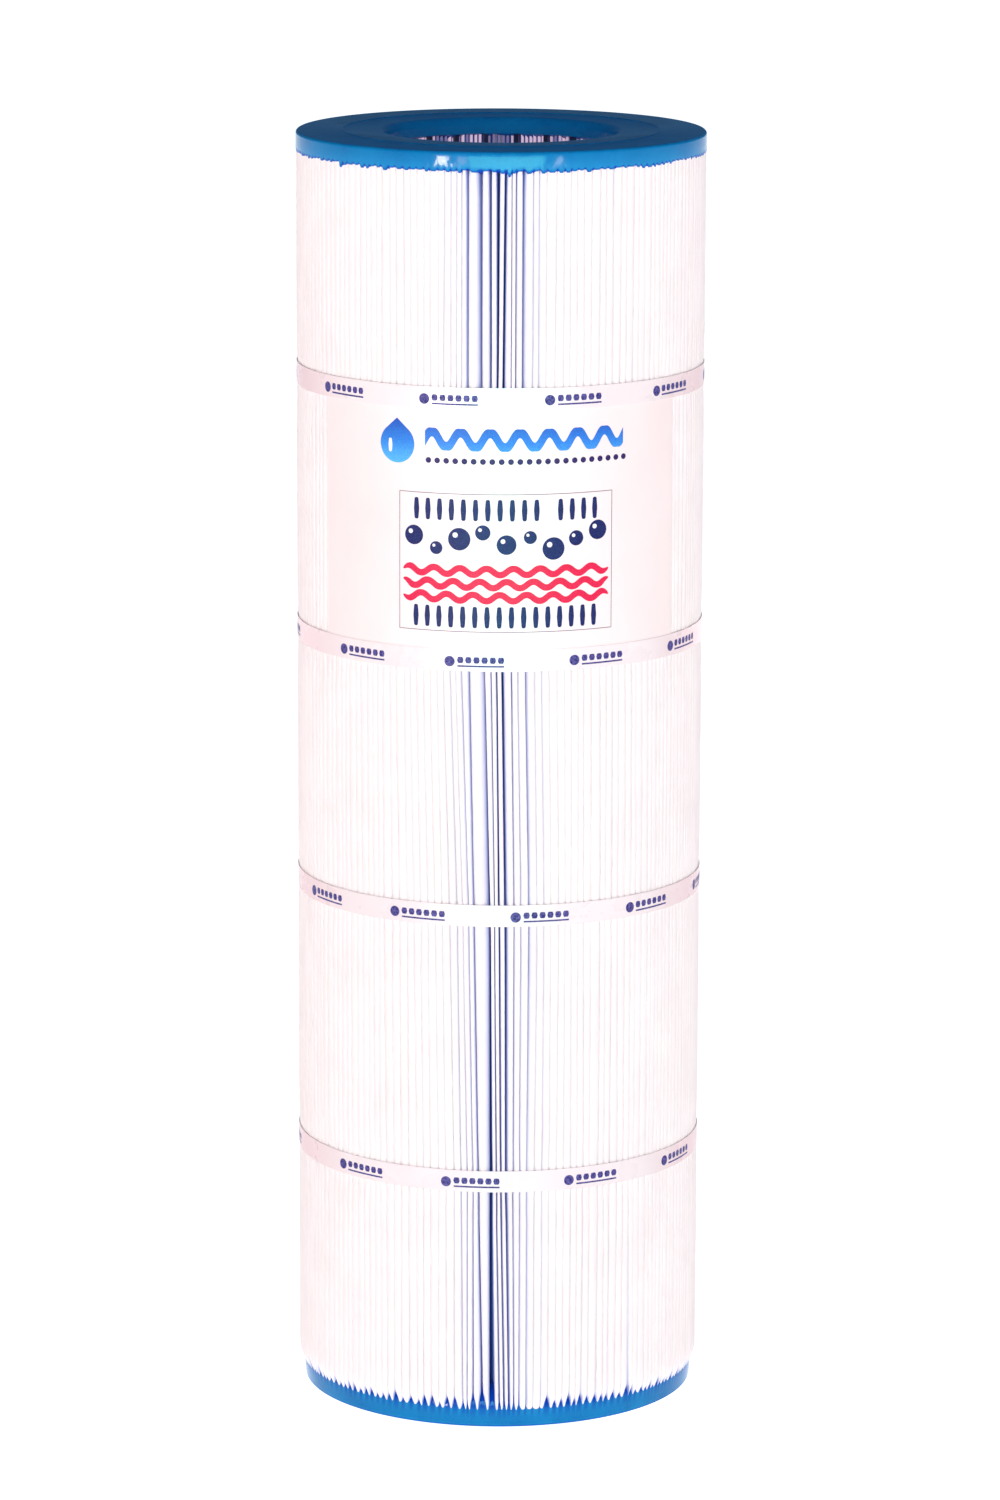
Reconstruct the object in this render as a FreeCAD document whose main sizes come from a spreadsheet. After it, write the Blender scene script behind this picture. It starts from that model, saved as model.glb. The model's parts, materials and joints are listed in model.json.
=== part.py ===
"""Filter cartridge for a pool or spa: a folded fabric pack round a slotted core, potted into two caps.

The cartridge stands on its bottom cap. Z runs up its axis, the origin is the centre of its bottom
face, and the label faces -Y. Millimetres and degrees.
"""

import FreeCAD, Part
import math
import os

import Sketcher

doc = FreeCAD.newDocument("filter_cartridge")

# ---------------------------------------------------------------- driving dimensions

SIZES = {
    # whole cartridge
    "overall_length": 712.8,
    "bore_radius": 63.5,
    # top cap
    "top_cap_radius": 113.5,
    "top_cap_thickness": 9.5,
    "top_edge_round": 1.6,
    "top_lip_round": 4.0,
    # bottom cap, whose wall has moulding draft
    "bottom_cap_radius": 110.6,
    "bottom_cap_foot_radius": 109.8,
    "bottom_cap_thickness": 10.4,
    "bottom_edge_round": 1.2,
    "bottom_lip_round": 2.0,
    # a fine raised bead runs round the outer face of both caps
    "bead_radius": 87.5,
    "bead_width": 1.4,
    "bead_height": 0.5,
    # slotted core tube, whose ends are potted in the caps
    "core_inner_radius": 64.5,
    "core_outer_radius": 67.0,
    "core_seat_depth": 4.0,
    "core_columns": 24,
    "core_rows": 10,
    "core_rib_width": 3.0,
    "core_ring_height": 6.0,
    # folded fabric pack
    "pleat_count": 168,
    "pleat_outer_radius": 112.8,
    "pleat_inner_radius": 67.2,
    "pleat_outer_fold_width": 2.6,
    "pleat_inner_fold_width": 1.5,
    "fabric_thickness": 0.5,
    # which is drawn in to the smaller cap by a cone at its foot
    "neck_height": 14.0,
    "neck_radius": 110.5,
    "neck_top_radius": 113.8,
    # label sheet
    "label_gap": 0.02,
    "label_thickness": 0.15,
    "label_angle": 112.8,
    "label_height": 143.0,
    # tension bands: band 1 covers the label's top edge and band 2 its bottom edge
    "band_thickness": 0.22,
    "band_width": 12.0,
    "band_1_height": 578.9,
    "band_2_height": 435.6,
    "band_3_height": 293.4,
    "band_4_height": 142.9,
    "band_lap_angle": 13.0,
}

sheet = doc.addObject("Spreadsheet::Sheet", "sizes")
for row, (alias, value) in enumerate(SIZES.items(), start=1):
    sheet.set(f"A{row}", alias)
    sheet.set(f"B{row}", str(value))
    sheet.setAlias(f"B{row}", alias)
doc.recompute()


def size(name):
    """One driving dimension, read from the sheet."""
    return float(sheet.get(name))


def formula(text):
    """An expression on the sheet: every word that is a dimension's name gets the sheet's name before it."""
    words = text.replace("(", "( ").replace(")", " )").split()
    return " ".join(f"sizes.{word}" if word in SIZES else word for word in words)


# ---------------------------------------------------------------- building blocks


def origin_feature(body, role):
    """A plane or axis of the body's own origin."""
    return next(f for f in body.Origin.OriginFeatures if f.Role == role)


def outline_sketch(body, name, plane, corners):
    """A closed straight-sided sketch. Each corner is a pair of formulas, and both of them drive it."""
    sketch = body.newObject("Sketcher::SketchObject", name)
    sketch.AttachmentSupport = [(origin_feature(body, plane), "")]
    sketch.MapMode = "FlatFace"
    points = []
    for across, up in corners:
        values = (sheet.evalExpression(formula(across)), sheet.evalExpression(formula(up)))
        points.append(FreeCAD.Vector(float(values[0]), float(values[1]), 0))
    count = len(points)
    for index in range(count):
        sketch.addGeometry(Part.LineSegment(points[index], points[(index + 1) % count]))
    for index in range(count):
        sketch.addConstraint(Sketcher.Constraint("Coincident", index, 2, (index + 1) % count, 1))
    for index, (across, up) in enumerate(corners):
        for kind, text, value in (
            ("DistanceX", across, points[index].x),
            ("DistanceY", up, points[index].y),
        ):
            number = sketch.addConstraint(Sketcher.Constraint(kind, -1, 1, index, 1, value))
            sketch.setExpression(f"Constraints[{number}]", formula(text))
    return sketch


def revolve(body, name, corners, angle="360"):
    """Turn an outline of (radius, height) corners about Z, from the XZ plane by the given angle."""
    sketch = outline_sketch(body, name + "_outline", "XZ_Plane", corners)
    turned = body.newObject("PartDesign::Revolution", name)
    turned.Profile = sketch
    turned.ReferenceAxis = (origin_feature(body, "Z_Axis"), [""])
    turned.setExpression("Angle", formula(angle))
    doc.recompute()
    return turned


def round_edges(body, name, base, radius, circle_radius, height):
    """Fillet the full circular edges of base that have this radius and height."""
    wanted = []
    for index, edge in enumerate(base.Shape.Edges, start=1):
        curve = edge.Curve
        if isinstance(curve, Part.Circle):
            same_radius = abs(curve.Radius - circle_radius) < 0.01
            if same_radius and abs(curve.Center.z - height) < 0.01:
                wanted.append(f"Edge{index}")
    fillet = body.newObject("PartDesign::Fillet", name)
    fillet.Base = (base, wanted)
    fillet.setExpression("Radius", formula(radius))
    doc.recompute()
    return fillet


# ---------------------------------------------------------------- end caps


def end_cap(label, radius, face_radius, thickness, edge_round, lip_round):
    """A poured cap as it comes out of its mould, outer face down on Z = 0.

    radius is that of the wall's inner end and face_radius that of its outer face. The bead stands on
    the outer face, and the groove in the inner face holds the end of the core.
    """
    body = doc.addObject("PartDesign::Body", label)
    inner_face = thickness
    outline = [
        ("bore_radius", "bead_height"),
        ("bead_radius - bead_width / 2", "bead_height"),
        ("bead_radius - bead_width / 4", "0"),
        ("bead_radius + bead_width / 4", "0"),
        ("bead_radius + bead_width / 2", "bead_height"),
        (face_radius, "bead_height"),
        (radius, inner_face),
        ("core_outer_radius", inner_face),
        ("core_outer_radius", f"{inner_face} - core_seat_depth"),
        ("core_inner_radius", f"{inner_face} - core_seat_depth"),
        ("core_inner_radius", inner_face),
        ("bore_radius", inner_face),
    ]
    turned = revolve(body, label + "_disc", outline)
    bead = size("bead_height")
    outer = round_edges(body, label + "_edge", turned, edge_round, size(face_radius), bead)
    body.Tip = round_edges(body, label + "_lip", outer, lip_round, size("bore_radius"), bead)
    return body


bottom_cap = end_cap(
    "bottom_end_cap",
    "bottom_cap_radius",
    "bottom_cap_foot_radius",
    "bottom_cap_thickness",
    "bottom_edge_round",
    "bottom_lip_round",
)
top_cap = end_cap(
    "top_end_cap",
    "top_cap_radius",
    "top_cap_radius",
    "top_cap_thickness",
    "top_edge_round",
    "top_lip_round",
)
# The top cap is turned over, about X, so that its outer face is the cartridge's top.
top_cap.Placement.Rotation = FreeCAD.Rotation(FreeCAD.Vector(1, 0, 0), 180)
top_cap.setExpression("Placement.Base.z", formula("overall_length"))

# ---------------------------------------------------------------- slotted core

# The windows are cut in one short ring of the tube, and copies of it are then joined end to end.


def slotted_core():
    """The core tube, with rows of windows between its rings and its upright ribs."""
    inner, outer = size("core_inner_radius"), size("core_outer_radius")
    seat, ring_height = size("core_seat_depth"), size("core_ring_height")
    columns, rows = int(size("core_columns")), int(size("core_rows"))
    bottom = size("bottom_cap_thickness")
    top = size("overall_length") - size("top_cap_thickness")
    pitch = (top - bottom + ring_height) / rows
    window_height = pitch - ring_height
    window_width = 2 * math.pi * outer / columns - size("core_rib_width")

    def tube(height, base):
        place = FreeCAD.Vector(0, 0, base)
        return Part.makeCylinder(outer, height, place).cut(Part.makeCylinder(inner, height, place))

    cutters = []
    for column in range(columns // 2):
        corner = FreeCAD.Vector(-2 * outer, -window_width / 2, 0)
        cutter = Part.makeBox(4 * outer, window_width, window_height, corner)
        cutter.rotate(FreeCAD.Vector(), FreeCAD.Vector(0, 0, 1), column * 360 / columns)
        cutters.append(cutter)
    windowed = tube(pitch, 0).cut(cutters)
    last = tube(window_height, 0).cut(cutters)

    pieces = [tube(seat, bottom - seat), tube(seat, top)]
    for row in range(rows):
        piece = (windowed if row < rows - 1 else last).copy()
        piece.translate(FreeCAD.Vector(0, 0, bottom + row * pitch))
        pieces.append(piece)
    return pieces[0].multiFuse(pieces[1:]).removeSplitter()


core = doc.addObject("Part::Feature", "core")
core.Shape = slotted_core()

# ---------------------------------------------------------------- folded fabric pack


def fold_wire(tip_radius, tip_width, valley_radius, valley_width):
    """One face of the folded fabric in plan: a flat at each tip and one at each valley between."""
    count = int(size("pleat_count"))
    points = []
    for half_step in range(2 * count):
        at_tip = half_step % 2 == 0
        radius = tip_radius if at_tip else valley_radius
        half_width = (tip_width if at_tip else valley_width) / 2
        turn = FreeCAD.Rotation(FreeCAD.Vector(0, 0, 1), half_step * 180 / count)
        for side in (-half_width, half_width):
            points.append(turn.multVec(FreeCAD.Vector(radius, side, 0)))
    return Part.makePolygon(points + points[:1])


def pleated_pack():
    """The fabric pack between the caps, drawn in to the smaller cap at its lower end."""
    thickness = size("fabric_thickness")
    tip_radius, tip_width = size("pleat_outer_radius"), size("pleat_outer_fold_width")
    valley_radius, valley_width = size("pleat_inner_radius"), size("pleat_inner_fold_width")
    outside = fold_wire(
        tip_radius, tip_width, valley_radius + thickness, valley_width - 2 * thickness
    )
    inside = fold_wire(tip_radius - thickness, tip_width - 2 * thickness, valley_radius, valley_width)
    plan = Part.makeFace([outside, inside], "Part::FaceMakerBullseye")

    bottom = size("bottom_cap_thickness")
    top = size("overall_length") - size("top_cap_thickness")
    pack = plan.extrude(FreeCAD.Vector(0, 0, top - bottom))
    pack.translate(FreeCAD.Vector(0, 0, bottom))

    # What lies outside a cone at the foot is taken off.
    foot, height = FreeCAD.Vector(0, 0, bottom), size("neck_height")
    block = Part.makeCylinder(2 * tip_radius, height, foot)
    cone = Part.makeCone(size("neck_radius"), size("neck_top_radius"), height, foot)
    return pack.cut(block.cut(cone))


media = doc.addObject("Part::Feature", "pleated_media")
media.Shape = pleated_pack()

# ---------------------------------------------------------------- label and bands

label_inner = "( pleat_outer_radius + label_gap )"
label_outer = f"( {label_inner} + label_thickness )"
label_top = "( ( band_1_height + band_2_height + label_height ) / 2 )"

label = doc.addObject("PartDesign::Body", "label")
label.Tip = revolve(
    label,
    "label_sheet",
    [
        (label_inner, f"{label_top} - label_height"),
        (label_outer, f"{label_top} - label_height"),
        (label_outer, label_top),
        (label_inner, label_top),
    ],
    "label_angle",
)
# The sheet is centred on -Y.
label.Placement.Rotation = FreeCAD.Rotation(FreeCAD.Vector(0, 0, 1), -90 - size("label_angle") / 2)

BAND_SEAM_AZIMUTHS = (84, 118, 62, 97)  # where each band's lap starts, round the back


def tension_band(number, seam_azimuth):
    """A printed band welded into a ring, with its end lapped over its start."""
    body = doc.addObject("PartDesign::Body", f"band_{number}")
    middle = f"band_{number}_height"
    low, high = f"{middle} - band_width / 2", f"{middle} + band_width / 2"
    inner, outer = label_outer, f"( {label_outer} + band_thickness )"
    lap = f"( {outer} + band_thickness )"
    revolve(body, f"band_{number}_ring", [(inner, low), (outer, low), (outer, high), (inner, high)])
    body.Tip = revolve(
        body,
        f"band_{number}_lap",
        [(inner, low), (lap, low), (lap, high), (inner, high)],
        "band_lap_angle",
    )
    body.Placement.Rotation = FreeCAD.Rotation(FreeCAD.Vector(0, 0, 1), seam_azimuth)
    return body


bands = [tension_band(n, azimuth) for n, azimuth in enumerate(BAND_SEAM_AZIMUTHS, start=1)]

# ---------------------------------------------------------------- checks and export

doc.recompute()
for item in doc.Objects:
    broken = [state for state in item.State if state in ("Invalid", "Error")]
    if broken:
        raise RuntimeError(f"{item.Label} is {broken}")

subparts = [top_cap, bottom_cap, core, media, label, *bands]
for subpart in subparts:
    if subpart.Shape.isNull() or not subpart.Shape.isValid():
        raise RuntimeError(f"{subpart.Label} has no valid shape")
    if len(subpart.Shape.Solids) != 1:
        raise RuntimeError(f"{subpart.Label} is {len(subpart.Shape.Solids)} solids")

os.makedirs("parts", exist_ok=True)
for subpart in subparts:
    subpart.Shape.exportStep(f"parts/{subpart.Label}.step")
    print(f"{subpart.Label}: {subpart.Shape.Volume / 1000:.1f} cm3, {len(subpart.Shape.Faces)} faces")
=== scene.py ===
"""Looks of the filter cartridge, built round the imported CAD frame. Metres, Z up, label towards -Y."""

import json
import math

import bmesh
import bpy
import numpy as np
from mathutils import Matrix, Vector


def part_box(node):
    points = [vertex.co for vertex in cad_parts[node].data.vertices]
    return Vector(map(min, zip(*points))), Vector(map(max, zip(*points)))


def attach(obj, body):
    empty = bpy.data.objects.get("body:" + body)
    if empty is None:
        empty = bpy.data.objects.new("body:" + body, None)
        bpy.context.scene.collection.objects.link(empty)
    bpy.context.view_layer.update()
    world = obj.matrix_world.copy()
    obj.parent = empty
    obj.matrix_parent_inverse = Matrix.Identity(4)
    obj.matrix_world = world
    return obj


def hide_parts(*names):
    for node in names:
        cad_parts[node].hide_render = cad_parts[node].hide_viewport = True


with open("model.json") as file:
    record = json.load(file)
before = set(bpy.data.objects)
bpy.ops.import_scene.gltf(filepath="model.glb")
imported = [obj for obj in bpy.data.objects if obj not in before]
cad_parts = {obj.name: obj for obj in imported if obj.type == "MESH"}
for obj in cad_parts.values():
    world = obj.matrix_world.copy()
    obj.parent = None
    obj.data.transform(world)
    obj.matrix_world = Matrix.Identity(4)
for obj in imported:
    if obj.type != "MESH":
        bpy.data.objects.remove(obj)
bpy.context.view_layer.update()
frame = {"nodes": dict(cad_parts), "record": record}

MM = 0.001
FULL_TURN = 2 * math.pi
rng = np.random.default_rng(7)  # everything uneven is drawn from here, in a fixed order

# ---------------------------------------------------------------- places read from the frame


def node_radius(node):
    """Outer radius of a round CAD node."""
    low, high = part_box(node)
    return (high[0] - low[0]) / 2


def node_span(node):
    """Lowest and highest Z of a CAD node."""
    low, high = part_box(node)
    return low[2], high[2]


MOUNTS = {mount["name"]: mount for mount in frame["record"]["mounts"]}
BORE_RADIUS = MOUNTS["top_bore"]["dims"]["r_mm"] * MM
TOP_RADIUS = node_radius("top_end_cap")
BOTTOM_RADIUS = node_radius("bottom_end_cap")
PACK_RADIUS = node_radius("pleated_media")
CORE_RADIUS = node_radius("core")
PACK_LOW, PACK_HIGH = node_span("pleated_media")
LABEL_LOW, LABEL_HIGH = node_span("label")
LABEL_SPAN = math.radians(112.8)
BANDS = [f"band_{number}" for number in range(1, 5)]
BAND_MIDDLES = [sum(node_span(band)) / 2 for band in BANDS]

# ---------------------------------------------------------------- mesh helpers


def make_piece(name, points, faces, material, slot_name):
    """A closed smooth mesh piece from arrays of points and faces, riding on the one body."""
    mesh = bpy.data.meshes.new(name)
    mesh.from_pydata(np.asarray(points).tolist(), [], [list(face) for face in faces])
    shell = bmesh.new()
    shell.from_mesh(mesh)
    bmesh.ops.recalc_face_normals(shell, faces=shell.faces)
    shell.to_mesh(mesh)
    shell.free()
    mesh.shade_smooth()
    piece = bpy.data.objects.new(name, mesh)
    bpy.context.scene.collection.objects.link(piece)
    mesh.materials.append(material)
    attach(piece, "root")
    return piece


def polar(radius, azimuth, height):
    """Points at these radii, azimuths (from -Y towards +X) and heights."""
    radius, azimuth, height = np.broadcast_arrays(radius, azimuth, height)
    return np.stack([radius * np.sin(azimuth), -radius * np.cos(azimuth), height], axis=-1)


def grid_faces(rows, columns, close_rows=True, close_columns=True):
    """Quads of a grid of points, which may close into a ring either way."""
    last_row = rows if close_rows else rows - 1
    last_column = columns if close_columns else columns - 1
    row, column = np.meshgrid(np.arange(last_row), np.arange(last_column), indexing="ij")
    below, beside = (row + 1) % rows, (column + 1) % columns
    corners = [
        row * columns + column,
        row * columns + beside,
        below * columns + beside,
        below * columns + column,
    ]
    return np.stack(corners, axis=-1).reshape(-1, 4)


def strip(at, low, high, inner, outer):
    """A thin closed strip wrapped round a cylinder, between two heights at each place round it.

    at is the distance round the cylinder from the front, and low and high are the heights there.
    """
    at, low, high = np.broadcast_arrays(at, low, high)
    section = [(low, inner), (low, outer), (high, outer), (high, inner)]
    points = np.stack([polar(radius, at / outer, level) for level, radius in section], axis=1)
    last = 4 * (len(at) - 1)
    faces = grid_faces(len(at), 4, close_rows=False).tolist()
    faces += [[0, 1, 2, 3], [last + 3, last + 2, last + 1, last]]
    return points.reshape(-1, 3), faces


def join(parts):
    """The points and faces of several meshes as one."""
    points, faces, start = [], [], 0
    for part_points, part_faces in parts:
        points.append(part_points)
        faces += [[start + corner for corner in face] for face in part_faces]
        start += len(part_points)
    return np.concatenate(points), faces


def smoothstep(value):
    value = np.clip(value, 0, 1)
    return value * value * (3 - 2 * value)


def through_knots(where, knots, values):
    """values, given at each of the rising knots along their first axis, straight in between."""
    knots = np.asarray(knots)
    low = np.clip(np.searchsorted(knots, where, side="right") - 1, 0, len(knots) - 2)
    share = (where - knots[low]) / (knots[low + 1] - knots[low])
    share = share.reshape(share.shape + (1,) * (values.ndim - 1))
    return values[low] * (1 - share) + values[low + 1] * share


def set_attribute(piece, name, values):
    """A number at every point of a piece, for its material to read."""
    attribute = piece.data.attributes.new(name, "FLOAT", "POINT")
    attribute.data.foreach_set("value", np.ravel(values).astype(np.float32))


# ---------------------------------------------------------------- materials


class Nodes:
    """A short way to build one material's node tree."""

    def __init__(self, name):
        self.material = bpy.data.materials.new(name)
        self.material.use_nodes = True
        self.tree = self.material.node_tree
        self.shader = self.tree.nodes["Principled BSDF"]

    def add(self, kind, **settings):
        node = self.tree.nodes.new(kind)
        for key, value in settings.items():
            if hasattr(node, key):
                setattr(node, key, value)
            else:
                node.inputs[key].default_value = value
        return node

    def link(self, source, target):
        self.tree.links.new(source, target)

    def drive(self, name, source):
        """Feed one of the shader's sockets."""
        self.link(source, self.shader.inputs[name])

    def fix(self, **values):
        """Set the shader's own sockets, their names written with underscores."""
        for name, value in values.items():
            self.shader.inputs[name.replace("_", " ")].default_value = value

    def position(self, scale=(1, 1, 1)):
        """Object coordinates, stretched by scale."""
        coordinates = self.add("ShaderNodeTexCoord")
        mapping = self.add("ShaderNodeMapping")
        mapping.inputs["Scale"].default_value = scale
        self.link(coordinates.outputs["Object"], mapping.inputs["Vector"])
        return mapping.outputs["Vector"]

    def noise(self, vector, scale, detail=3.0, roughness=0.5):
        node = self.add("ShaderNodeTexNoise", Scale=scale, Detail=detail, Roughness=roughness)
        self.link(vector, node.inputs["Vector"])
        return node.outputs["Fac"]

    def ramp(self, value, stops):
        """A colour ramp with (position, colour) stops; a colour may be one grey level."""
        node = self.add("ShaderNodeValToRGB")
        elements = node.color_ramp.elements
        while len(elements) < len(stops):
            elements.new(0.5)
        for element, (position, colour) in zip(elements, stops):
            element.position = position
            element.color = (*colour, 1) if isinstance(colour, tuple) else (colour, colour, colour, 1)
        self.link(value, node.inputs["Fac"])
        return node.outputs["Color"]

    def math(self, operation, first, second):
        node = self.add("ShaderNodeMath", operation=operation)
        for socket, value in zip(node.inputs, (first, second)):
            if isinstance(value, (int, float)):
                socket.default_value = value
            else:
                self.link(value, socket)
        return node.outputs[0]

    def bump(self, height, distance, strength=1.0, normal=None):
        node = self.add("ShaderNodeBump", Strength=strength, Distance=distance)
        self.link(height, node.inputs["Height"])
        if normal:
            self.link(normal, node.inputs["Normal"])
        return node.outputs["Normal"]

    def attribute(self, name):
        return self.add("ShaderNodeAttribute", attribute_name=name).outputs["Fac"]

    def mix(self, factor, first, second):
        """Two colours, or the outputs that give them, mixed by factor."""
        node = self.add("ShaderNodeMix", data_type="RGBA")
        self.link(factor, node.inputs[0])
        for socket, value in zip((node.inputs[6], node.inputs[7]), (first, second)):
            if isinstance(value, tuple):
                socket.default_value = (*value, 1)
            else:
                self.link(value, socket)
        return node.outputs[2]


def cap_material():
    """Poured polyurethane: mottled sky blue, satin, with painted shade in dark navy where it has wicked
    up between the folds.
    """
    n = Nodes("cap_polyurethane")
    place = n.position()
    clouds = n.ramp(
        n.noise(place, 45, 4, 0.6),
        [(0.30, (0.003, 0.140, 0.400)), (0.55, (0.004, 0.180, 0.460)), (0.75, (0.008, 0.225, 0.520))],
    )
    grains = n.ramp(n.noise(place, 1500, 3, 0.7), [(0.38, 0.0), (0.72, 0.55)])
    body = n.mix(grains, clouds, (0.006, 0.260, 0.500))
    # The wick attribute paints shade in dark navy: between the folds, on the folds' ends under the top
    # cap's rim, and along the bottom cap's foot.
    potted = n.mix(n.attribute("wick"), body, (0.001, 0.050, 0.400))
    filmed = n.mix(n.attribute("film"), potted, (0.030, 0.360, 0.720))
    n.drive("Base Color", filmed)
    n.drive("Roughness", n.ramp(n.noise(place, 90, 3), [(0.3, 0.06), (0.7, 0.11)]))
    orange_peel = n.bump(n.noise(place, 900, 2), 0.000012)
    n.drive("Normal", n.bump(n.noise(place, 60, 2), 0.00015, 0.5, orange_peel))
    n.fix(IOR=1.2)
    return n.material


def media_material():
    """Spunbond polyester: bright matt fibres and bond points, in shade deep between the folds."""
    n = Nodes("media_fabric")
    place = n.position()
    cloud = n.ramp(
        n.noise(place, 34, 4, 0.6),
        [(0.30, (0.89, 0.825, 0.81)), (0.55, (0.925, 0.865, 0.85)), (0.75, (0.94, 0.89, 0.875))],
    )
    streaks = n.noise(n.position((1, 1, 0.02)), 420, 3, 0.7)
    brushed = n.mix(n.ramp(streaks, [(0.35, 0.0), (0.75, 0.30)]), cloud, (0.84, 0.77, 0.86))
    depth = n.attribute("depth")
    shaded = n.ramp(depth, [(0.015, 0.0), (0.08, 0.55), (0.20, 0.85), (0.5, 1.0)])
    shade = n.ramp(
        depth,
        [(0.08, (0.39, 0.43, 0.60)), (0.26, (0.12, 0.19, 0.46)), (0.8, (0.04, 0.07, 0.28))],
    )
    n.drive("Base Color", n.mix(shaded, brushed, shade))
    n.fix(Roughness=0.82, Specular_IOR_Level=0.25, Sheen_Weight=0.12, Sheen_Roughness=0.5)
    # Emission paints a glow on its flanks and on the folds that face the bore, standing in for light
    # let through the thin fabric.
    painted_flank_glow = n.ramp(
        depth,
        [
            (0.02, 0.0), (0.06, (0.11, 0.12, 0.16)), (0.20, (0.06, 0.06, 0.12)),
            (0.50, (0.012, 0.028, 0.10)), (0.95, (0.005, 0.015, 0.06)),
        ],
    )
    glow = n.ramp(n.attribute("glow"), [(0.94, 0.0), (0.995, 1.0)])
    n.drive("Emission Color", n.mix(glow, painted_flank_glow, (0.60, 0.43, 0.50)))
    n.fix(Emission_Strength=1.0)
    bonds = n.add("ShaderNodeTexVoronoi", Scale=900.0, Randomness=0.25)
    n.link(place, bonds.inputs["Vector"])
    fibres = n.bump(n.noise(place, 2600, 4, 0.7), 0.00006, 0.8)
    n.drive("Normal", n.bump(bonds.outputs["Distance"], 0.00010, 0.7, fibres))
    return n.material


def core_material():
    """Moulded plastic of the core: nearly black blue, with a faint grain."""
    n = Nodes("core_plastic")
    place = n.position()
    shade = n.ramp(n.noise(place, 120, 3), [(0.3, (0.008, 0.012, 0.045)), (0.7, (0.016, 0.024, 0.075))])
    n.drive("Base Color", shade)
    n.drive("Roughness", n.ramp(n.noise(place, 300, 2), [(0.3, 0.45), (0.7, 0.60)]))
    n.drive("Normal", n.bump(n.noise(place, 1500, 2), 0.00005))
    return n.material


def sheet_material(name, low, high, roughness, coat):
    """A smooth printed sheet or film, with slow colour variation and a faint grain."""
    n = Nodes(name)
    place = n.position()
    n.drive("Base Color", n.ramp(n.noise(place, 16, 3), [(0.3, low), (0.7, high)]))
    n.drive("Roughness", n.ramp(n.noise(place, 50, 3), [(0.3, roughness), (0.7, roughness + 0.08)]))
    n.drive("Normal", n.bump(n.noise(place, 1100, 3), 0.00003))
    n.fix(Coat_Weight=coat, Coat_Roughness=0.2)
    return n.material


def band_material():
    """Glossy film of the bands: nearly white at the front, with painted shade that makes it pinker and
    darker round the sides and the back.
    """
    n = Nodes("band_film")
    place = n.position()
    split = n.add("ShaderNodeSeparateXYZ")
    n.link(place, split.inputs["Vector"])
    # The painted shade is spread over 50 mm, and starts 78 mm in front of the axis.
    back = n.math("MULTIPLY", n.math("ADD", split.outputs["Y"], 0.078), 20.0)
    pale = n.ramp(n.noise(place, 16, 3), [(0.3, (0.81, 0.72, 0.73)), (0.7, (0.86, 0.78, 0.79))])
    n.drive("Base Color", n.mix(n.ramp(back, [(0.0, 0.0), (1.0, 1.0)]), pale, (0.75, 0.50, 0.52)))
    n.drive("Roughness", n.ramp(n.noise(place, 50, 3), [(0.3, 0.25), (0.7, 0.33)]))
    n.drive("Normal", n.bump(n.noise(place, 1100, 3), 0.00003))
    n.fix(Coat_Weight=0.4, Coat_Roughness=0.2)
    return n.material


def ink_material(name, low, high, speckle=1400):
    """Printing ink that lets a little of its sheet through as speckle."""
    n = Nodes(name)
    place = n.position()
    n.drive("Base Color", n.ramp(n.noise(place, speckle, 2), [(0.35, low), (0.70, high)]))
    n.drive("Roughness", n.ramp(n.noise(place, 200, 2), [(0.3, 0.42), (0.7, 0.52)]))
    n.fix(Specular_IOR_Level=0.12)
    return n.material


def faded_ink_material(name, low_height, high_height, stops):
    """Ink whose colour changes with height, between the lowest and the highest point of the print."""
    n = Nodes(name)
    place = n.position()
    split = n.add("ShaderNodeSeparateXYZ")
    n.link(place, split.inputs["Vector"])
    rise = n.math("SUBTRACT", split.outputs["Z"], low_height)
    share = n.math("DIVIDE", rise, high_height - low_height)
    speckle = n.math("MULTIPLY", n.math("SUBTRACT", n.noise(place, 1300, 2), 0.5), 0.5)
    n.drive("Base Color", n.ramp(n.math("ADD", share, speckle), stops))
    n.fix(Roughness=0.45, Specular_IOR_Level=0.12)
    return n.material


CAP = cap_material()
MEDIA = media_material()
CORE = core_material()
LABEL = sheet_material("label_sheet", (0.88, 0.76, 0.75), (0.92, 0.81, 0.80), 0.42, 0.15)
BAND = band_material()

# ---------------------------------------------------------------- plan of the folds

GAPS = 168
AROUND_PACK = FULL_TURN * PACK_RADIUS
NARROWEST_FOLD = 1.6 * MM
LEAN_FADE = 45 * MM  # over this distance round the pack the folds stop leaning

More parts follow.
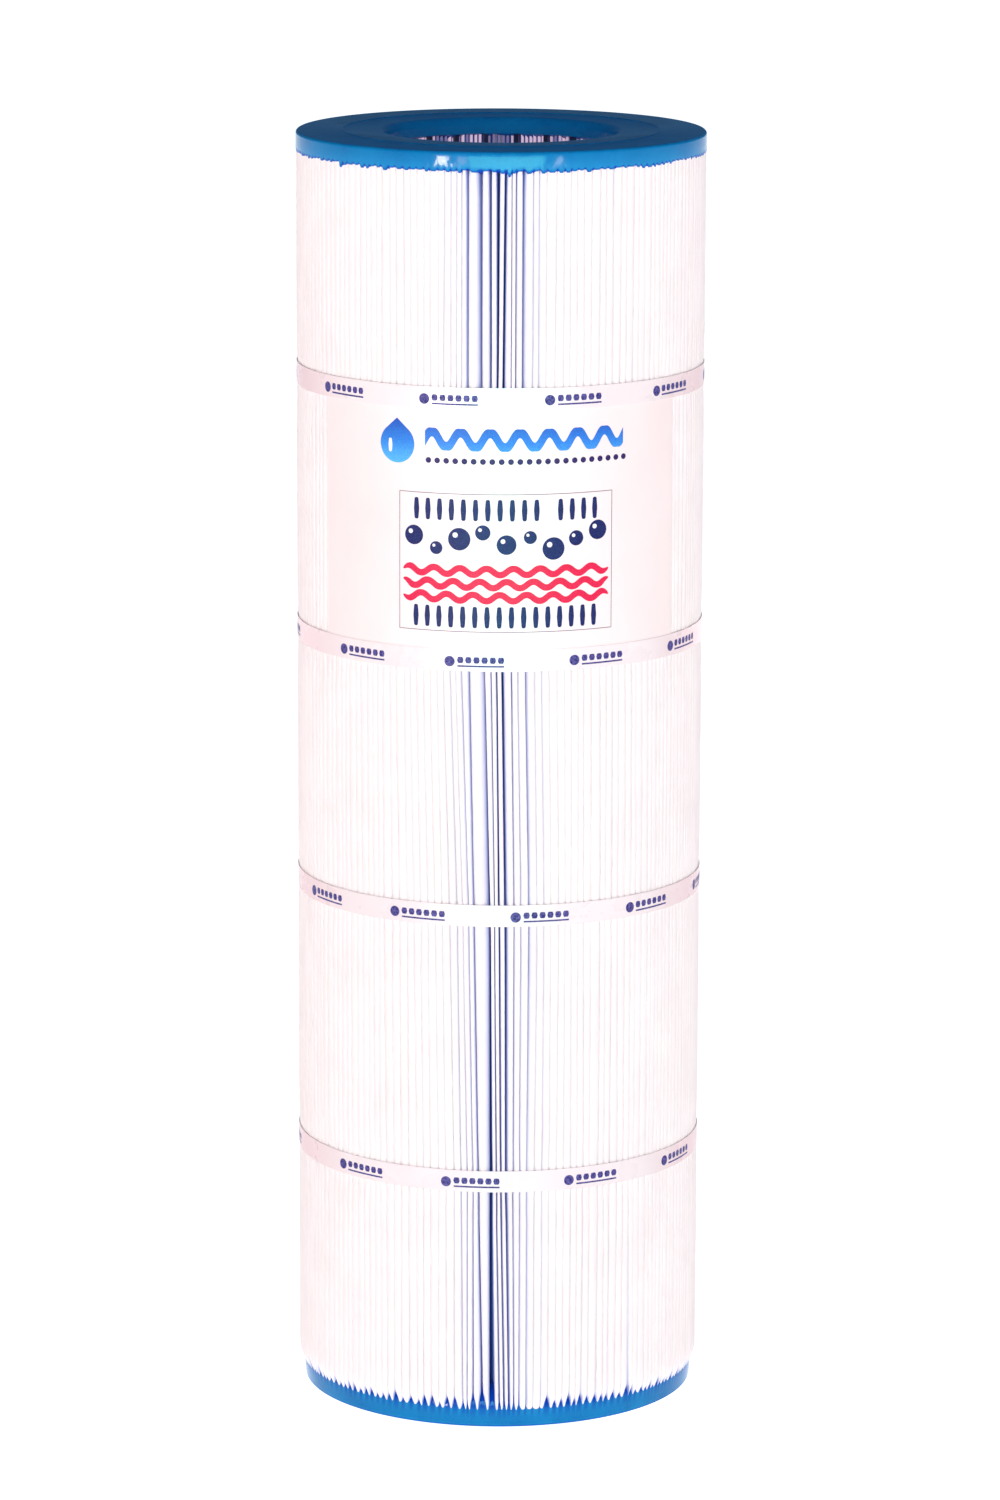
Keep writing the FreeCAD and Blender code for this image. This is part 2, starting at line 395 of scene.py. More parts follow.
# Gaps nearest the front, one to a row: (centre, width) in mm, positive to the right of the front,
# at the bottom cap, at bands 4, 3, 2 and 1, and at the top cap.
FRONT_GAPS = np.array([
    [(-19.3, 0.8), (-20.5, 0.7), (-23.0, 0.7), (-27.4, 0.6), (-27.0, 0.4), (-27.0, 0.4)],
    [(-16.9, 0.7), (-17.0, 0.7), (-19.8, 0.4), (-24.3, 0.3), (-23.8, 0.5), (-23.8, 0.5)],
    [(-13.6, 0.9), (-13.9, 0.7), (-16.6, 0.7), (-21.2, 0.7), (-21.0, 0.4), (-21.0, 0.4)],
    [(-8.4, 1.2), (-11.0, 0.8), (-13.8, 0.7), (-16.8, 0.8), (-17.9, 0.9), (-18.0, 1.0)],
    [(-2.9, 3.0), (-3.8, 1.8), (-5.0, 1.2), (-8.5, 0.8), (-10.4, 1.2), (-10.7, 1.5)],
    [(1.3, 0.9), (-0.8, 0.8), (-2.2, 0.5), (-4.7, 0.6), (-5.2, 1.1), (-5.7, 1.4)],
    [(4.0, 1.3), (1.7, 1.1), (0.3, 1.0), (-1.6, 0.8), (-1.5, 1.1), (-1.4, 1.8)],
    [(6.6, 1.2), (4.5, 1.3), (3.8, 1.4), (1.6, 1.3), (1.7, 1.3), (2.7, 1.3)],
    [(9.3, 0.9), (8.5, 0.8), (8.6, 0.7), (6.5, 0.8), (5.9, 0.5), (6.0, 0.5)],
    [(12.2, 0.8), (12.0, 0.7), (12.3, 0.6), (9.9, 0.5), (8.3, 0.8), (8.3, 0.8)],
    [(16.0, 0.4), (15.8, 0.4), (16.7, 0.7), (14.2, 0.8), (12.2, 1.0), (12.2, 1.1)],
    [(20.0, 0.4), (20.2, 0.4), (21.2, 0.4), (19.0, 0.4), (17.6, 0.5), (17.6, 0.5)],
    [(24.3, 0.4), (24.5, 0.4), (25.0, 0.4), (23.0, 0.5), (20.7, 0.6), (20.7, 0.5)],
])
# How much wider the same gaps get where they meet the bottom cap, in mm.
FRONT_NOTCHES = [1.5, 1.2, 3.6, 4.2, 2.4, 1.4, 1.4, 1.3, 1.3, 1.2, 0.3, 0.2, 0.4]
# How gently the folds on the left and on the right of the same gaps turn in to them, 0 to 1.
FRONT_TURNS = np.array([
    (0.2, 0.0), (0.2, 0.0), (0.4, 0.0), (0.9, 0.0), (1.0, 0.0), (0.6, 0.0), (0.6, 0.0),
    (0.0, 0.9), (0.2, 0.2), (0.0, 0.3), (0.0, 0.9), (0.0, 0.2), (0.0, 0.3),
])


def fold_plan():
    """The knots' heights, each gap's centre and width there, as distances round, and its notch."""
    knots = np.array([PACK_LOW, *sorted(BAND_MIDDLES), PACK_HIGH])
    front = FRONT_GAPS.transpose(2, 1, 0) * MM
    count = len(FRONT_GAPS)

    middle = front[0].mean(axis=0)
    pitch = np.clip(rng.normal(1.0, 0.16, GAPS - count + 1), 0.62, 1.5)
    pitch *= (AROUND_PACK - (middle[-1] - middle[0])) / pitch.sum()
    centre = np.concatenate([middle, middle[-1] + np.cumsum(pitch[:-1])])
    width = 0.10 * MM + rng.gamma(1.3, 0.13, GAPS) * MM
    behind = np.abs((centre / AROUND_PACK) % 1 - 0.5) < 0.27
    width *= np.where(behind, rng.choice([1.5, 6.0], GAPS, p=[0.85, 0.15]), 1)

    # The lean of the folds at the front fades away round the sides.
    after_front = np.exp(-(centre - middle[-1]) / LEAN_FADE)
    before_front = np.exp(-(AROUND_PACK + middle[0] - centre) / LEAN_FADE)
    shifted = centre + rng.normal(0, 0.30 * MM, (len(knots), GAPS))
    shifted += (front[0][:, -1:] - middle[-1]) * after_front
    shifted += (front[0][:, :1] - middle[0]) * before_front
    opened = width * rng.uniform(0.55, 1.45, (len(knots), GAPS))
    opened[0] *= 1.6  # the gaps open towards the bottom cap
    shifted[:, :count], opened[:, :count] = front
    before = np.roll(shifted, 1, axis=1)
    before[:, 0] -= AROUND_PACK
    after = np.roll(shifted, -1, axis=1)
    after[:, -1] += AROUND_PACK
    room = (after - before) / 2 - NARROWEST_FOLD
    opened = np.clip(opened, 0.2 * MM, np.maximum(room, 0.3 * MM))
    notch = rng.uniform(1.5, 3.4, GAPS) * MM
    notch[:count] = np.array(FRONT_NOTCHES) * MM
    notch = np.minimum(notch, np.maximum(room[0] + 1.2 * MM - opened[0], 0.2 * MM))
    return knots, shifted, opened, notch


KNOTS, CENTRES, OPENINGS, NOTCHES = fold_plan()
NOTCH_SLOPE = 3.0  # height of a notch per width


def gaps_at(heights):
    """Centre and width of every gap at each height."""
    heights = np.atleast_1d(heights)
    inside = np.clip(heights, KNOTS[0], KNOTS[-1])
    widening = NOTCHES - (inside[:, None] - KNOTS[0]) / NOTCH_SLOPE
    opening = through_knots(inside, KNOTS, OPENINGS) + np.maximum(widening, 0)
    return through_knots(inside, KNOTS, CENTRES), opening


def turned_in(opening):
    """How far the folds on the left and on the right of each gap turn in to it, 0 to 1."""
    wide = np.clip(opening / (1.8 * MM) - 0.3, 0, 1)
    turns = np.zeros((2, GAPS))
    turns[:, : len(FRONT_TURNS)] = FRONT_TURNS.T
    return np.maximum(wide, turns[0]), np.maximum(wide, turns[1])


def folds_between(centre, opening):
    """Centres and widths of the folds, the one before each gap, from the gaps' at each height."""
    right = centre - opening / 2
    left = np.roll(centre + opening / 2, 1, axis=-1)
    left[..., 0] -= AROUND_PACK
    return (left + right) / 2, right - left


def sheet_dip(azimuth, height, depth):
    """How far a sheet stretched over the folds dips into the gaps at each azimuth."""
    centre, opening = (rows[0] for rows in gaps_at(height))
    order = np.argsort(centre)
    centre, opening = centre[order], opening[order]
    place = (azimuth * PACK_RADIUS - centre[0]) % AROUND_PACK + centre[0]
    following = np.clip(np.searchsorted(centre, place), 1, GAPS - 1)
    nearer = np.abs(centre[following] - place) < np.abs(centre[following - 1] - place)
    nearest = np.where(nearer, following, following - 1)
    away = (place - centre[nearest]) / (0.5 * opening[nearest] + 0.5 * MM)
    return depth * np.exp(-away * away) * np.clip(opening[nearest] / (1.2 * MM), 0.3, 1.8)


# ---------------------------------------------------------------- folded fabric pack

FABRIC = 0.5 * MM
POTTED = 1.2 * MM  # how far the fabric runs on inside each cap
TAPER_TOP = 4 * MM  # the folds are squeezed over this height below the top cap
PINCH_TOP = 0.80  # share of a fold's width that is left there
NECK = 8 * MM  # the pack draws in to the smaller bottom cap over this height
SWELL = 0.42 * MM  # how far the pack swells where no band and no label holds it in


def pack_rows():
    """Heights of the rows of the pack's mesh: close together at the potted ends and the bands."""
    bottom = PACK_LOW + np.array([-POTTED / MM, 0, 1.5, 3, 5, 7.5, 10.5, 16, 24]) * MM
    top = PACK_HIGH + np.array([-16, -4, -1.5, 0, POTTED / MM]) * MM
    beside = [middle + step * MM for middle in BAND_MIDDLES for step in (-24, -8, 8, 24)]
    return np.sort(np.concatenate([bottom, top, beside, BAND_MIDDLES]))


def squeezed(heights, widths):
    """The folds' widths, squeezed towards the top cap."""
    share = PINCH_TOP + (1 - PINCH_TOP) * smoothstep((PACK_HIGH - heights) / TAPER_TOP)
    return widths * share[:, None]


def fold_section(tip, width, opening, valley, radius, wall, valley_radius, valley_width):
    """One face of the fabric, row by row: rounded tips, with the valleys between them.

    A tip is rounder where it turns in to a gap. wall is how far this face lies inside the outer one,
    which narrows its tips.
    """
    turn = np.radians([-90, -52, -18, 18, 52, 90])
    half = np.maximum(width / 2 - wall, 0.06 * MM)
    out = radius - wall
    left_of_gap, right_of_gap = turned_in(opening)
    turned = np.stack([np.roll(right_of_gap, 1, axis=1)] * 3 + [left_of_gap] * 3, axis=-1)
    round_off = half[..., None] * (0.28 + 1.3 * turned)
    tip_radii = out[..., None] - round_off * (1 - np.cos(turn))
    tip_places = tip[..., None] + half[..., None] * np.sin(turn)
    valley_radii = np.broadcast_to(valley_radius, (*tip.shape, 2))
    valley_turns = valley[..., None] + np.array([-0.5, 0.5]) * valley_width / valley_radius
    radii = np.concatenate([tip_radii, valley_radii], axis=-1)
    turns = np.concatenate([tip_places / PACK_RADIUS, valley_turns], axis=-1)
    return radii.reshape(len(tip), -1), turns.reshape(len(tip), -1)


def build_media():
    """The whole folded sheet, as a closed skin of its outer and its inner face."""
    heights = pack_rows()
    rows = len(heights)
    centre, opening = gaps_at(heights)
    loose = smoothstep((heights - PACK_LOW) / (40 * MM)) * smoothstep((PACK_HIGH - heights) / (40 * MM))
    centre = centre + rng.normal(0, 0.07 * MM, centre.shape) * loose[:, None]
    tip, width = folds_between(centre, opening)
    width = squeezed(heights, width)

    # The inner folds lie more evenly than the outer ones, because the core spaces them.
    even = FULL_TURN * np.arange(GAPS) / GAPS
    settled = CENTRES.mean(axis=0) / PACK_RADIUS
    even += (settled - even).mean()
    valley = 0.5 * centre / PACK_RADIUS + 0.5 * even

    nearest = np.min(np.abs(heights[:, None] - BAND_MIDDLES), axis=1)
    neck = 1 - np.clip((heights - PACK_LOW) / NECK, 0, 1)
    swell = SWELL * smoothstep((nearest - 4 * MM) / (15 * MM)) * (1 - neck)
    turn = np.abs((tip / PACK_RADIUS + math.pi) % FULL_TURN - math.pi)
    labelled = (heights > LABEL_LOW) & (heights < LABEL_HIGH)
    held_in = labelled[:, None] * (1 - smoothstep((turn - LABEL_SPAN / 2 - 0.03) / 0.15))
    radius = PACK_RADIUS - (PACK_RADIUS - BOTTOM_RADIUS + 0.15 * MM) * neck**1.6
    radius = radius[:, None] + swell[:, None] * (1 - held_in) - rng.uniform(0, 0.12, GAPS) * MM

    tips = (tip, width, opening, valley, radius)
    outer = fold_section(*tips, 0, CORE_RADIUS + 0.7 * MM, 0.5 * MM)
    inner = fold_section(*tips, FABRIC, CORE_RADIUS + 0.2 * MM, 1.2 * MM)
    rings = [polar(radii, turns, heights[:, None]) for radii, turns in (outer, inner)]
    columns = rings[0].shape[1]
    # Up the outer face and down the inner one, so that the grid closes both ways.
    points = np.concatenate([rings[0], rings[1][::-1]]).reshape(-1, 3)
    piece = make_piece("media_folds", points, grid_faces(2 * rows, columns), MEDIA, "media")

    tips_there = np.repeat(np.concatenate([radius, radius[::-1]]), 8, axis=1).ravel()
    depth = (tips_there - np.hypot(points[:, 0], points[:, 1])) / (PACK_RADIUS - CORE_RADIUS)
    # A fold is in shade where it turns in, and more so near the caps.
    near_cap = np.exp((heights - PACK_HIGH) / (9 * MM)) + np.exp((PACK_LOW - heights) / (9 * MM))
    darkening = (1 + 1.3 * near_cap)[:, None, None] * np.array([0.025, 0.085, 0.18])
    left_of_gap, right_of_gap = (side[..., None] * darkening for side in turned_in(opening))
    shade = np.zeros((rows, GAPS, 8))
    shade[..., 3:6] = left_of_gap
    shade[..., :3] = np.roll(right_of_gap, 1, axis=1)[..., ::-1]
    shade = np.concatenate([shade, shade[::-1]]).ravel()
    set_attribute(piece, "depth", np.maximum(depth, shade))
    # The last two columns of each fold, on the inner face only, are its valley seen from the bore,
    # where the glow paints light.
    glow = np.zeros((2 * rows, GAPS, 8))
    glow[rows:, :, 6:] = rng.choice([1.0, 0.985, 0.955], GAPS, p=[0.5, 0.2, 0.3])[:, None]
    set_attribute(piece, "glow", glow)

    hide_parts("pleated_media")


build_media()

# ---------------------------------------------------------------- end caps


def rounded(centre, radius, start, end, steps=8):
    """Points of a rounded corner in (radius, height), angles in degrees."""
    angles = np.radians(np.linspace(start, end, steps))
    return [(centre[0] + radius * math.cos(a), centre[1] + radius * math.sin(a)) for a in angles]


def cap_columns(height, pinch):
    """Azimuths round a cap that follow the folds' ends, and for each one its gap and its openness.

    Openness is 0 on a fold's end and 1 in the gap beside it.
    """
    centre, opening = (rows[0] for rows in gaps_at(height))
    tip, width = folds_between(centre, opening)
    half = pinch * width / 2
    following = np.append(tip[1:], tip[0] + AROUND_PACK)
    following_half = np.roll(half, -1)
    start, end = tip + half, following - following_half
    shares = np.array([0.10, 0.30, 0.50, 0.70, 0.90])
    across = start[:, None] + (end - start)[:, None] * shares
    places = np.concatenate([(tip - 0.5 * half)[:, None], (tip + 0.5 * half)[:, None], across], axis=1)
    openness = np.tile([0.0, 0.0, 0.75, 1.0, 1.0, 1.0, 0.75], (GAPS, 1))
    gap = np.repeat(np.arange(GAPS), places.shape[1])
    return places.ravel() / PACK_RADIUS, gap, openness.ravel(), opening


BEAD = 0.5 * MM  # height of the bead on the outer face, which stands proud of the rest
BEAD_RADIUS = 87.5 * MM
BEAD_WIDTH = 1.6 * MM
FOOT_DRAFT = 0.8 * MM  # how much narrower the bottom cap is at its foot


def build_cap(name, node, foot_radius, edge, lip, pinch, over, wick, spread):
    """A poured cap, its outer face at height 0, and the polyurethane that wicks up between the folds.

    edge and lip are the radii of its outer edge and of its bore's edge, and pinch is the share of
    the folds' width where they end in it. over is how far it rises on the ends of the folds in mm.
    wick is how far it rises in the narrowest gap, how much more per width of the gap, and at most.
    spread is the range of the factor by which both vary from gap to gap.
    """
    low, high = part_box(node)
    wall_radius, thickness = node_radius(node), high[2] - low[2]
    upside_down = low[2] > PACK_LOW
    profile = [(BORE_RADIUS, thickness)]
    profile += rounded((BORE_RADIUS + lip, BEAD + lip), lip, 180, 270)
    for share in np.linspace(0, 1, 9):
        swell = BEAD * (0.5 - 0.5 * math.cos(FULL_TURN * share))
        profile.append((BEAD_RADIUS + (share - 0.5) * BEAD_WIDTH, BEAD - swell))
    profile += rounded((foot_radius - edge, BEAD + edge), edge, 270, 360)
    profile.append(((foot_radius + wall_radius) / 2, 0.6 * thickness))
    # From here on a row is (distance in from the wall in mm, share of the rise on a fold's end,
    # share of the rise in a gap), up the wick and inwards to the core.
    inside = (wall_radius - CORE_RADIUS) / MM
    wicked = np.array([
        (0.0, 0.45, 0.06), (0.12, 0.80, 0.16), (0.4, 1.0, 0.32), (1.2, 1.0, 0.55), (3.5, 1.0, 0.80),
        (9.0, 1.0, 1.0), (22.0, 0.9, 0.85), (inside - 9, 0.7, 0.5), (inside - 2, 0.9, 0.8),
        (inside, 0.6, 0.5), (inside + 3.1, 0.12, 0.12),
    ])
    first = len(profile)
    profile += [(wall_radius - inward * MM, thickness) for inward in wicked[:, 0]]
    profile[first] = (wall_radius, thickness - 0.5 * MM)

    azimuth, gap, openness, opening = cap_columns(high[2] if upside_down else low[2], pinch)
    columns = len(azimuth)
    radius, height = (np.repeat(column[:, None], columns, axis=1) for column in np.array(profile).T)
    own = rng.uniform(*spread, GAPS) * rng.choice([1.0, 1.7], GAPS, p=[0.93, 0.07])
    in_gap = np.minimum((wick[0] + wick[1] * opening / MM) * own, wick[2])[gap] * MM * openness
    on_end = over * own[gap] * MM * (1 - openness)
    height[first:] += wicked[:, 1:2] * on_end + wicked[:, 2:3] * in_gap
    # The edge of the pour is a little uneven, over longer stretches than one fold.
    waver = rng.normal(0, 0.12 * MM, 59)
    around = np.linspace(0, len(waver), columns)
    height[first : first + 3] += np.interp(around, np.arange(len(waver) + 1), [*waver, waver[0]])

    points = polar(radius, azimuth, height).reshape(-1, 3)
    if upside_down:
        points[:, 2] = high[2] - points[:, 2]
    piece = make_piece(name, points, grid_faces(len(profile), columns), CAP, "cap")
    # Painted shade, darker between the folds where the pour lies deeper, and on the folds' ends under
    # the top cap's rim; a thinner film along the edge of the wall.
    # Painted shade on the folds' ends just under the top cap's rim.
    shade_under_rim = 0.6 if upside_down else 0.0
    painted_shade = np.zeros_like(height)
    painted_shade[first - 1] = 0.05 * openness
    painted_shade[first] = (0.1 if upside_down else 0.6) * openness
    painted_shade[first + 1] = 0.85 * openness + shade_under_rim * (1 - openness)
    painted_shade[first + 2] = openness + shade_under_rim * (1 - openness)
    painted_shade[first + 3 :] = 1.0
    painted_shade[-2:] = 0.5
    film = np.zeros_like(height)
    if upside_down:
        film[first - 1] = 0.12
        film[first] = 0.30
    else:
        film[first] = 0.05 + 0.15 * (1 - openness)
        film[first + 1] = 0.3 * (1 - openness)
        # Painted shade along the foot that the bottom cap stands on.
        painted_shade[first - 6 : first - 2] = 0.55  # the edge that it stands on
    # The wick attribute carries this painted shade to the material.
    set_attribute(piece, "wick", painted_shade)
    set_attribute(piece, "film", film)
    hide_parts(node)


build_cap(
    "top_cap_poured", "top_end_cap", TOP_RADIUS, 1.6 * MM, 4.0 * MM,
    PINCH_TOP, 2.0, (2.4, 0.8, 5.5), (0.6, 1.4),
)
build_cap(
    "bottom_cap_poured", "bottom_end_cap", BOTTOM_RADIUS - FOOT_DRAFT, 1.2 * MM, 2.0 * MM,
    1.0, 2.8, (1.8, 2.8, 14.0), (0.8, 1.2),
)

frame["nodes"]["core"].data.materials.clear()
frame["nodes"]["core"].data.materials.append(CORE)

# ---------------------------------------------------------------- label and bands


def wrapped_sheet(centre, span, low, high, inner, outer, columns, rows, dip):
    """Points and faces of a thin closed sheet round the pack, span radians about its centre."""
    ring = span >= FULL_TURN
    azimuth = centre + np.linspace(-span / 2, span / 2, columns, endpoint=not ring)
    level = np.linspace(low, high, rows)
    sunk = np.array([sheet_dip(azimuth, height, dip) for height in level])
    faces_out = polar(outer - sunk, azimuth, level[:, None])
    faces_in = polar(inner - sunk, azimuth, level[:, None])
    points = np.concatenate([faces_out, faces_in[::-1]]).reshape(-1, 3)
    faces = grid_faces(2 * rows, columns, close_columns=ring).tolist()
    if not ring:
        for end in (0, columns - 1):
            for row in range(rows - 1):
                back = 2 * rows - 1 - row
                faces.append([corner * columns + end for corner in (row, row + 1, back - 1, back)])
    return points, faces


def lap_of(band):
    """Centre and span of the azimuths where a CAD band lies double."""
    places = np.array([vertex.co for vertex in frame["nodes"][band].data.vertices])
    radii = np.hypot(places[:, 0], places[:, 1])
    thickest = places[radii > radii.max() - 0.02 * MM]
    azimuths = np.unwrap(np.sort(np.arctan2(thickest[:, 0], -thickest[:, 1]) % FULL_TURN))
    return azimuths.mean(), np.ptp(azimuths), radii.max()


LABEL_IN = PACK_RADIUS + 0.02 * MM
LABEL_OUT = LABEL_IN + 0.15 * MM
label = make_piece(
    "label_wrap",
    *wrapped_sheet(0, LABEL_SPAN, LABEL_LOW, LABEL_HIGH, LABEL_IN, LABEL_OUT, 560, 10, 0.03 * MM),
    LABEL,
    "label",
)
label.data.set_sharp_from_angle(angle=math.radians(40))
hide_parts("label")

BAND_IN = LABEL_OUT + 0.01 * MM
BAND_OUT = BAND_IN + 0.20 * MM
for band in BANDS:
    low, high = node_span(band)
    lap_centre, lap_span, lap_radius = lap_of(band)
    hoop = wrapped_sheet(0, FULL_TURN, low, high, BAND_IN, BAND_OUT, 1344, 3, 0.06 * MM)
    lap = wrapped_sheet(
        lap_centre, lap_span, low - 0.3 * MM, high - 0.3 * MM, BAND_OUT, lap_radius, 48, 2, 0
    )
    film = make_piece(f"{band}_film", *join([hoop, lap]), BAND, "band")
    film.data.set_sharp_from_angle(angle=math.radians(40))
    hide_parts(band)

# ---------------------------------------------------------------- printing

INK = 0.02 * MM  # how thick the ink lies
LIFT = 0.008 * MM  # and how far clear of the sheet, so that no two faces coincide
BLUE_FADE = [(0.0, (0.10, 0.48, 0.90)), (0.5, (0.035, 0.23, 0.74)), (1.0, (0.02, 0.09, 0.50))]


def evenly(start, end, step=1.0):
    """Places from start to end in mm, about a step apart."""
    return np.linspace(start, end, max(2, round((end - start) / step) + 1))


def bar(centre, width, middle, height):
    """Outline of an upright bar with rounded ends: places, lower and upper edge, in mm."""
    at = np.linspace(-1, 1, 9)
    half = height / 2 * (1 - 0.999 * np.abs(at) ** 4) ** 0.35
    return centre + at * width / 2, middle - half, middle + half


def disc(centre, middle, radius):
    """Outline of a disc."""
    turn = np.radians(np.linspace(-88, 88, 15))
    half = radius * np.cos(turn)
    return centre + radius * np.sin(turn), middle - half, middle + half


def drop(centre, middle, radius, height):
    """Outline of a water drop, round below and pointed above."""
    turn = np.radians(np.linspace(-88, 88, 33))
    at, half = radius * np.sin(turn), radius * np.cos(turn)
    reach = height - radius
    slope = math.sqrt(reach**2 - radius**2) / radius
    ball = middle - height / 2 + radius
    pointed = reach - np.abs(at) * slope
    touch = radius * math.sqrt(1 - (radius / reach) ** 2)
    upper = np.where(np.abs(at) < touch, pointed, half)
    return centre + at, ball - half, ball + upper


def wave(start, end, middle, swing, length, thickness, phase=0.0, point=0.0):
    """Outline of a wavy ribbon, even in thickness or drawn out to points over a share of its ends."""
    at = evenly(start, end, length / 24)
    angle = FULL_TURN * (at - start) / length + phase
    steepness = FULL_TURN * swing / length * np.cos(angle)
    half = thickness / 2 * np.sqrt(1 + steepness**2)
    if point:
        end_share = np.minimum(at - start, end - at) / (end - start)
        half = half * (0.02 + 0.98 * np.sqrt(np.clip(end_share / point, 0, 1)))
    line = middle + swing * np.sin(angle)
    return at, line - half, line + half


def print_piece(name, outlines, material, slot_name, radius):
    """All the outlines of one ink, printed as thin closed relief on a cylinder of this radius."""
    parts = []
    for at, lower, upper in outlines:
        parts.append(strip(at * MM, lower * MM, upper * MM, radius + LIFT, radius + LIFT + INK))
    piece = make_piece(name, *join(parts), material, slot_name)
    piece.data.set_sharp_from_angle(angle=math.radians(40))


def print_label():
    """A generic print: a water drop and a ripple above, and a framed picture of bubbles over water."""
    navy = ink_material("ink_navy", (0.008, 0.013, 0.095), (0.022, 0.030, 0.165))
    red = ink_material("ink_red", (0.72, 0.010, 0.060), (0.82, 0.025, 0.100))
    plum = ink_material("ink_plum", (0.020, 0.012, 0.090), (0.060, 0.035, 0.170))
    grey = ink_material("ink_grey", (0.20, 0.12, 0.17), (0.34, 0.24, 0.30))
    white = ink_material("ink_white", (0.90, 0.87, 0.88), (0.93, 0.91, 0.92))
    blue = faded_ink_material("ink_faded_blue", 0.5425, 0.5665, BLUE_FADE)

    emblem = drop(-58.4, 554.4, 10.6, 24.6)
    ripple = wave(-41.6, 71.2, 556.5, 3.7, 16.1, 4.8)
    print_piece("print_blue", [emblem, ripple], blue, "label", LABEL_OUT)

    dots = [disc(-39.6 + 5.05 * step, 544.8, 1.6) for step in range(23)]
    print_piece("print_plum", dots, plum, "label", LABEL_OUT)

    bars = []
    for row_middle, start, count, skipped in ((518.2, -46.5, 16, (11,)), (459.4, -46.8, 16, ())):
        for step in range(count):
            if step not in skipped:
                bars.append(bar(start + 6.65 * step, 3.1, row_middle, 11.8))
    # Bubbles of different sizes rise across the whole picture, each with one white gleam.
    bubbles = []
    gleams = [bar(-62.6, 2.4, 551.6, 7.4)]
    for step in range(9):
        radius = (5.4, 3.6, 6.2, 4.2)[step % 4]
        centre = -48.0 + 12.9 * step
        middle = 501.6 + (1.8, -4.6, 0.6, 4.4, -2.2)[step % 5]
        bubbles.append(disc(centre, middle, radius))
        gleams.append(disc(centre - 0.36 * radius, middle + 0.36 * radius, 0.24 * radius))
    print_piece("print_navy", [*bars, *bubbles], navy, "label", LABEL_OUT)
    print_piece("print_white", gleams, white, "label", LABEL_OUT + INK)

    # Choppy water fills the lower half, three ripples deep and as wide as the picture.
    water = [wave(-54.6, 62.1, 484.6 - 7.2 * row, 1.7, 14.6, 3.6, 1.6 * row, 0.04) for row in range(3)]
    print_piece("print_red", water, red, "label", LABEL_OUT)

    left, right, bottom, top, line = -56.9, 63.8, 451.2, 526.7, 0.42
    across = evenly(left, right, 2.0)
    rules = [(across, level + 0 * across, level + line + 0 * across) for level in (bottom, top)]
    for side in (left, right):
        at = np.array([side, side + line])
        rules.append((at, bottom + 0 * at, top + line + 0 * at))
    print_piece("print_frame", rules, grey, "label", LABEL_OUT)


def print_band(band, start, ink):
    """Small generic marks all round a band: a disc, a row of blocks and a fine line beneath."""
    middle = BAND_MIDDLES[BANDS.index(band)] / MM
    outlines = []
    for step in range(10):
        centre = math.radians(start + 35.0 * step) * BAND_OUT / MM
        outlines.append(disc(centre, middle - 0.7, 2.9))
        for block in range(6):
            outlines.append(bar(centre + 6.0 + 4.45 * block, 3.5, middle + 0.2, 3.5))
        at = evenly(centre + 4.4, centre + 30.0, 1.6)
        outlines.append((at, middle - 3.6 + 0 * at, middle - 2.7 + 0 * at))
    print_piece(f"{band}_print", outlines, ink, "band", BAND_OUT)


print_label()
violet = ink_material("ink_violet", (0.030, 0.025, 0.160), (0.130, 0.110, 0.360), 900)
for band, start in zip(BANDS, (-56.3, -48.9, -65.3, -49.7)):
    print_band(band, start, violet)

# ---------------------------------------------------------------- floor, lights, camera


def build_floor():
    mesh = bpy.data.meshes.new("floor")
    half = 30.0
    corners = [(-half, -half, 0), (half, -half, 0), (half, half, 0), (-half, half, 0)]
    mesh.from_pydata(corners, [], [(0, 1, 2, 3)])
    floor = bpy.data.objects.new("floor", mesh)
    bpy.context.scene.collection.objects.link(floor)
    n = Nodes("floor_paper")
    n.drive("Base Color", n.ramp(n.noise(n.position(), 3, 2), [(0.3, 0.80), (0.7, 0.82)]))
    n.fix(Roughness=0.9, Specular_IOR_Level=0.1, Emission_Color=(1, 1, 1, 1), Emission_Strength=1.0)
    mesh.materials.append(n.material)


def softbox(name, azimuth, distance, height, width, tall, radiance, colour, mirrored=False):
    """A soft light on stage, turned to the cartridge, with the power for this radiance.

    A mirrored one only shows as a highlight in glossy surfaces; the others only fill the shade.
    """
    light = bpy.data.lights.new(name, "AREA")
    light.shape = "RECTANGLE"
    light.size, light.size_y = width, tall
    light.energy = radiance * math.pi * width * tall
    light.color = colour
    lamp = bpy.data.objects.new(name, light)
    turn = math.radians(azimuth)
    lamp.location = (distance * math.sin(turn), -distance * math.cos(turn), height)
    lamp.visible_glossy = mirrored
    lamp.visible_diffuse = not mirrored
    aim = Vector((0, 0, min(height, 0.7))) - lamp.location
    lamp.rotation_euler = aim.to_track_quat("-Z", "Y").to_euler()
    bpy.context.scene.collection.objects.link(lamp)


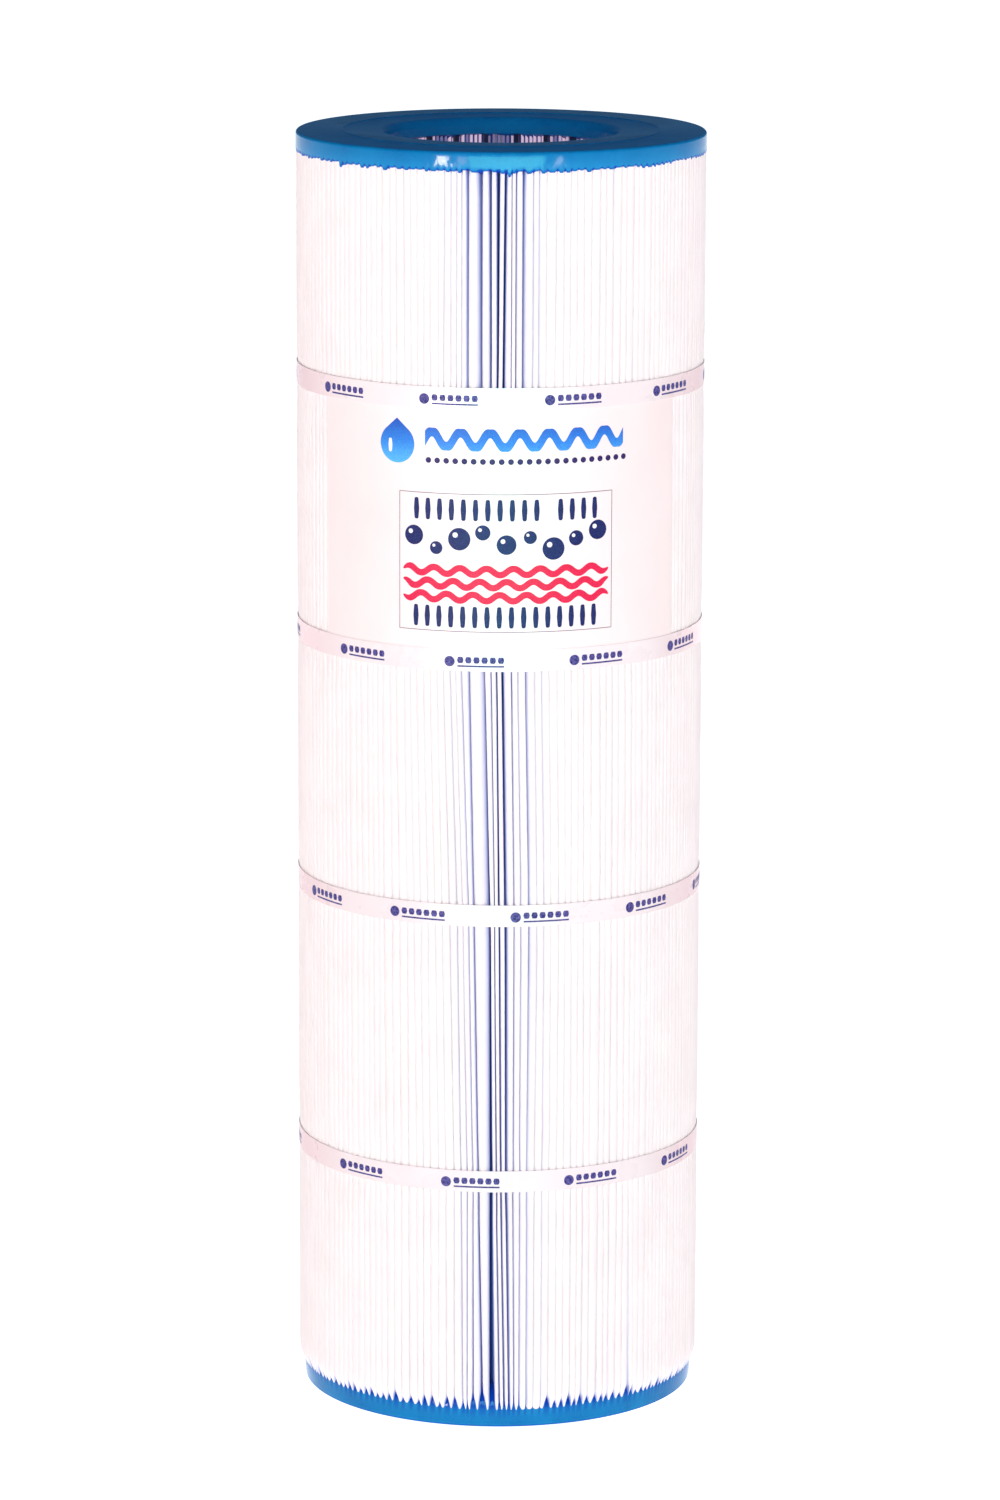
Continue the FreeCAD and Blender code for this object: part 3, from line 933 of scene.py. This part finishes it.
def build_world():
    """White behind everything, and a dim cool room for the light that reaches the cartridge."""
    world = bpy.data.worlds.new("studio")
    bpy.context.scene.world = world
    world.use_nodes = True
    tree = world.node_tree
    room = tree.nodes["Background"]
    room.inputs["Color"].default_value = (0.22, 0.55, 1.0, 1)
    room.inputs["Strength"].default_value = 0.20
    backdrop = tree.nodes.new("ShaderNodeBackground")
    backdrop.inputs["Color"].default_value = (1, 1, 1, 1)
    seen = tree.nodes.new("ShaderNodeLightPath")
    choose = tree.nodes.new("ShaderNodeMixShader")
    tree.links.new(seen.outputs["Is Camera Ray"], choose.inputs["Fac"])
    tree.links.new(room.outputs["Background"], choose.inputs[1])
    tree.links.new(backdrop.outputs["Background"], choose.inputs[2])
    tree.links.new(choose.outputs["Shader"], tree.nodes["World Output"].inputs["Surface"])


def build_camera():
    data = bpy.data.cameras.new("camera")
    camera = bpy.data.objects.new("camera", data)
    bpy.context.scene.collection.objects.link(camera)
    data.lens = 152.67
    data.sensor_width = 36.0
    data.clip_end = 100
    pitch, roll = math.radians(11.688), math.radians(0.182)
    camera.location = (0.0004, -3.5029, 1.0876)
    look = Matrix.Rotation(math.pi / 2 - pitch, 4, "X") @ Matrix.Rotation(roll, 4, "Z")
    camera.rotation_euler = look.to_euler()
    bpy.context.scene.camera = camera
    bpy.context.scene.view_settings.view_transform = "Standard"


ROSE = (1.0, 0.60, 0.34)
PALE = (1.0, 0.92, 0.89)
build_floor()
softbox("front_high", 0, 2.8, 1.41, 1.2, 0.40, 20.0, PALE)
softbox("front_low", 0, 3.0, 0.36, 1.2, 0.62, 7.0, PALE)
softbox("side_left", -80, 2.4, 0.36, 1.6, 0.62, 2.9, (1.0, 0.45, 0.14))
softbox("side_right", 80, 2.4, 0.36, 1.6, 0.62, 2.5, ROSE)
softbox("window_left", -32, 3.0, 0.365, 0.30, 0.50, 95.0, PALE, True)
softbox("window_middle", -21.5, 3.0, 0.365, 0.28, 0.50, 16.0, PALE, True)
softbox("window_right", 32, 3.0, 0.365, 0.20, 0.50, 24.0, PALE, True)
softbox("cyan_strip", 3, 3.0, 0.31, 2.3, 0.66, 24.0, (0.22, 1.0, 0.72), True)
softbox("back_left", -130, 2.6, 0.36, 1.8, 0.62, 4.0, PALE)
softbox("back_right", 140, 2.6, 0.36, 1.8, 0.62, 5.0, PALE)
build_world()
build_camera()
